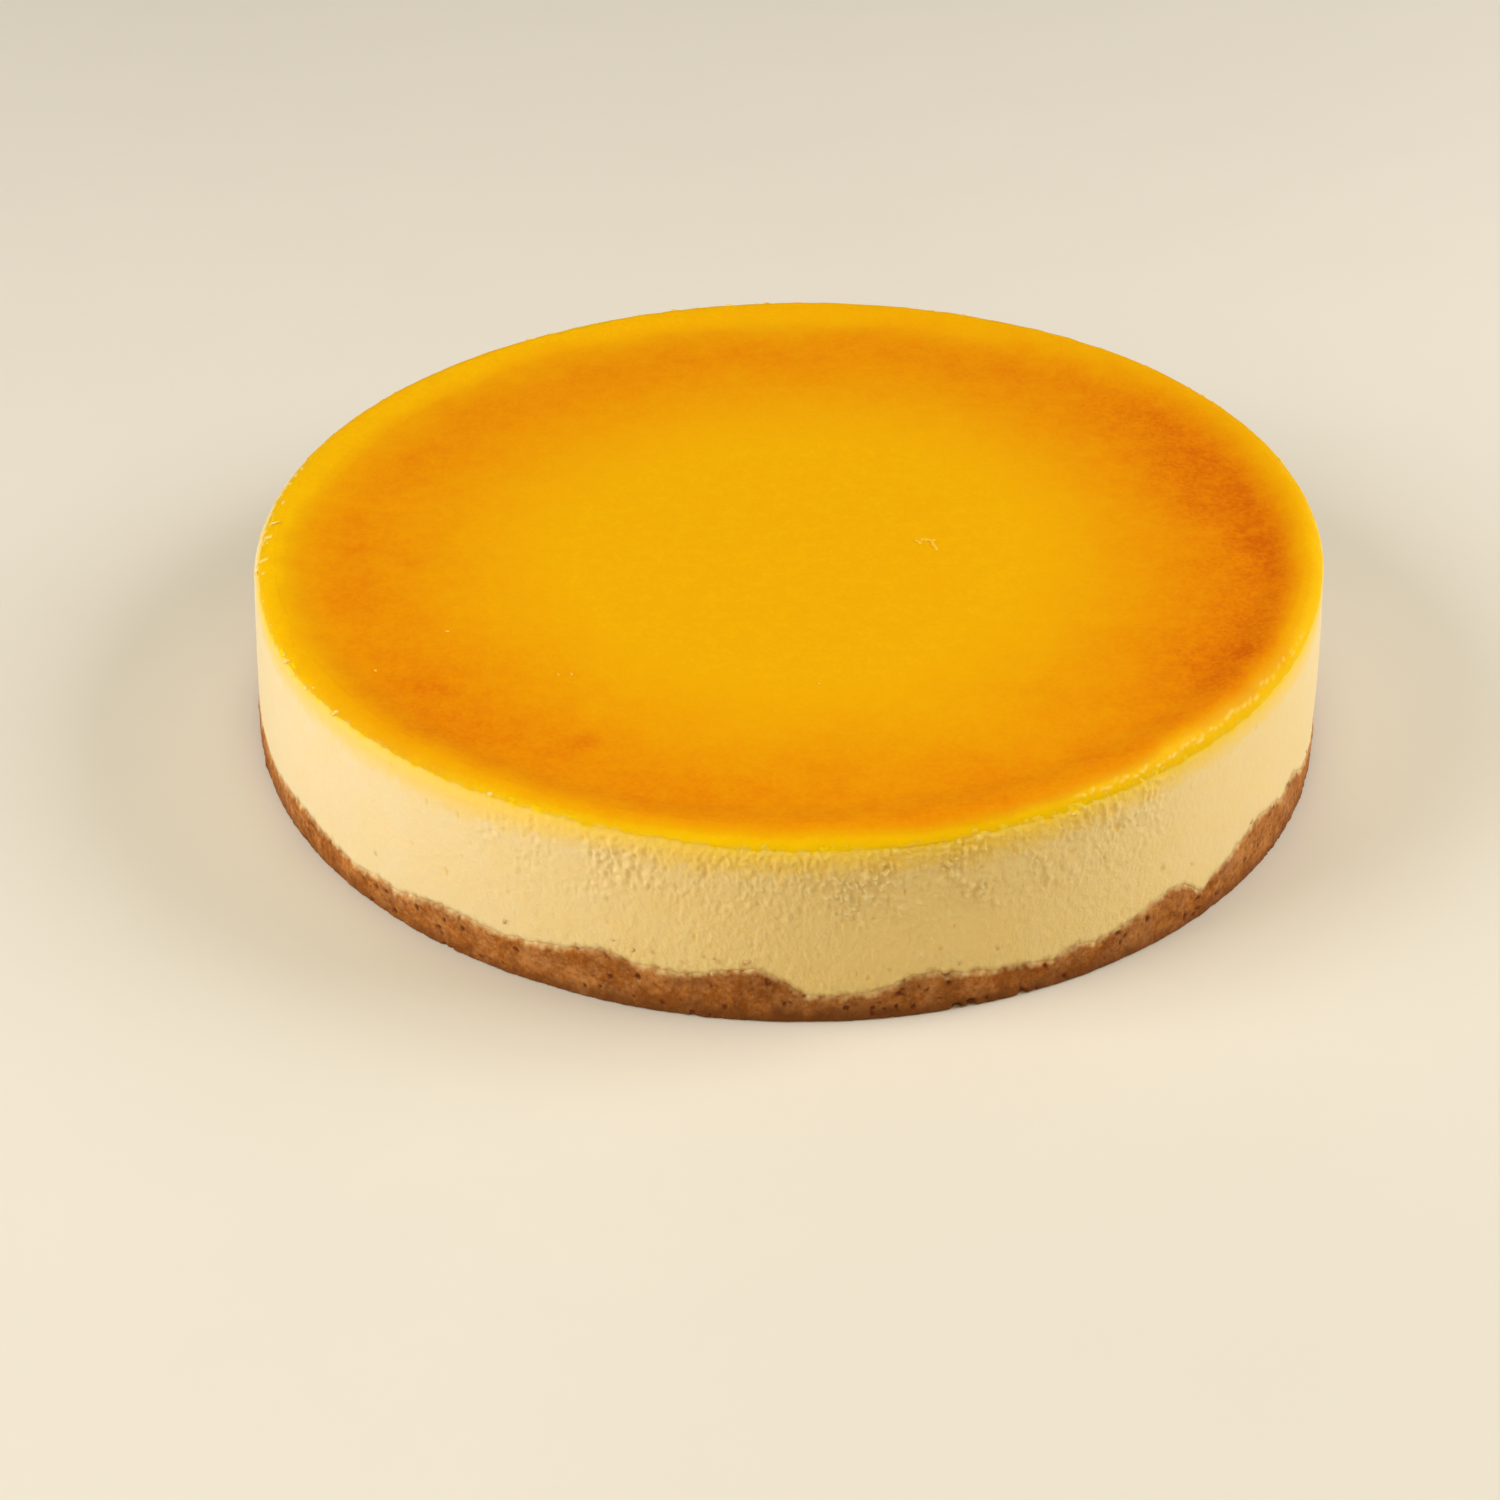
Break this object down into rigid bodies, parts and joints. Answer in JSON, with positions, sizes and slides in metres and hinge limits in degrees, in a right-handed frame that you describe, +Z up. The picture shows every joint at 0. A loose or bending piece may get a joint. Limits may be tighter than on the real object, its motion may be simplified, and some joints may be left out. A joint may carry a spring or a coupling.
{
  "type": "baked cheesecake",
  "caption": "Whole round baked cheesecake: a set cheese filling with a browned, slightly sunk top and a rounded lip, on a pressed biscuit crumb base.",
  "frame": {"origin": "centre of the underside, where the cake rests", "axes": "+Z up; -Y towards the side that the picture shows; +X to the right of that side"},
  "size_m": [0.241, 0.2398, 0.0492],
  "materials": {
    "biscuit_crumb": "matte, rough pressed biscuit crumb",
    "baked_cheese": "satin, soft and moist, browned on top"
  },
  "bodies": {
    "root": {"crumb_base": "biscuit_crumb", "cheese_filling": "baked_cheese"}
  },
  "joints": []
}
